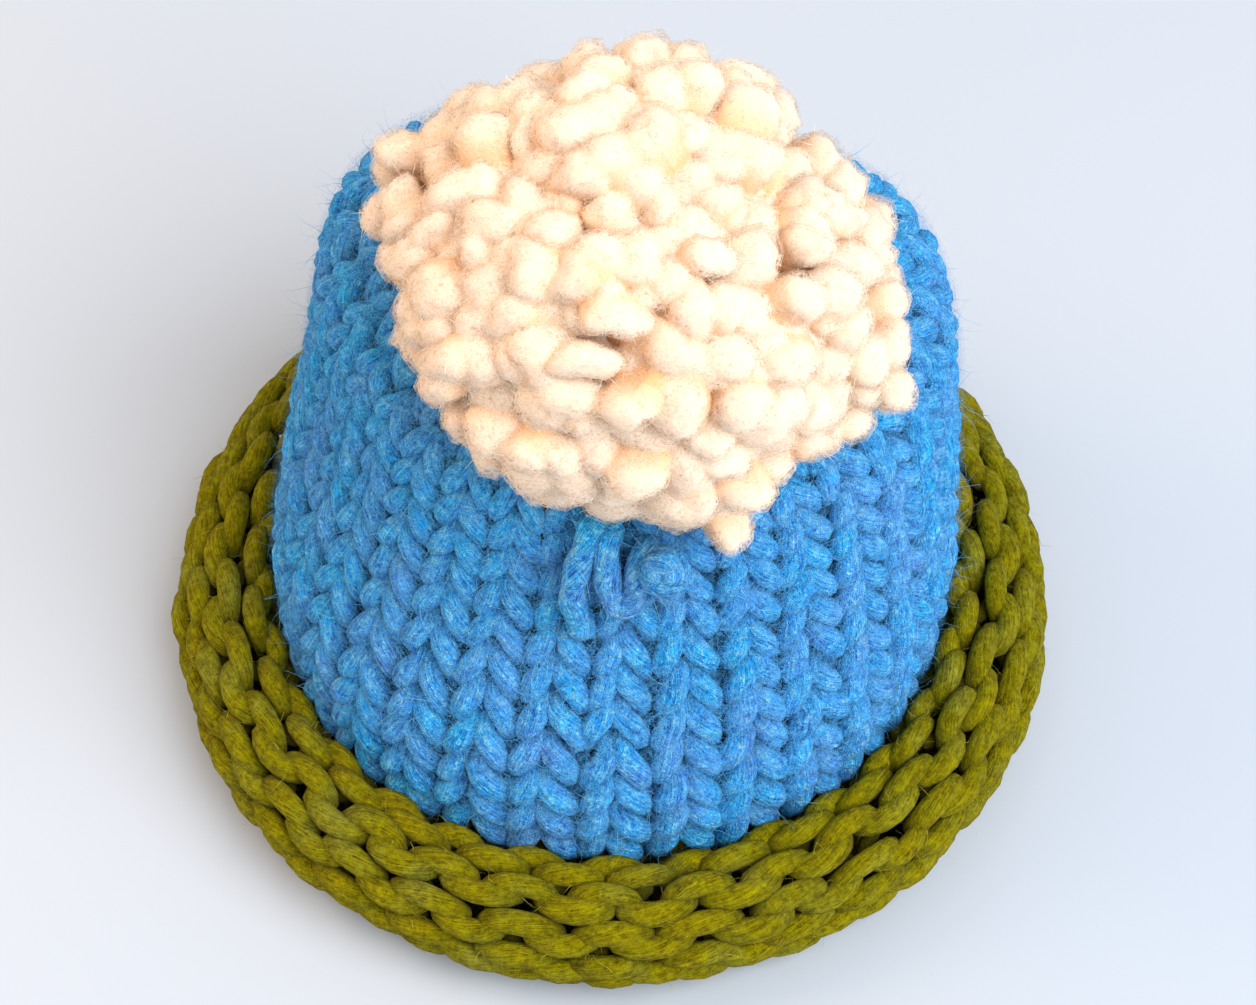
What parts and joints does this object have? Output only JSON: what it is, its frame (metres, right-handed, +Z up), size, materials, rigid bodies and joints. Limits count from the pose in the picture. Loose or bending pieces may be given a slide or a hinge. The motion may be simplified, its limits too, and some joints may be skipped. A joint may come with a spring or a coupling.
{
  "type": "baby knit hat",
  "caption": "Hollow ribbed baby hat with a rolled brim, a gathered crown and a large round pompom, standing on its brim.",
  "frame": {"origin": "middle of the ring on which the rolled brim rests, at the level of the table", "axes": "+Z up through the crown, -Y towards the front, where the closing yarn is knotted, +X to the right as seen from the front"},
  "size_m": [0.1424, 0.143, 0.1355],
  "materials": {
    "blue_wool": "heathered bulky wool, knit side out, fuzzy",
    "green_wool": "smooth bulky wool, purl side out",
    "cream_wool": "soft cut yarn ends"
  },
  "bodies": {
    "root": {"crown": "blue_wool", "rolled_brim": "green_wool", "pompom": "cream_wool", "gather_knot": "blue_wool"}
  },
  "joints": []
}
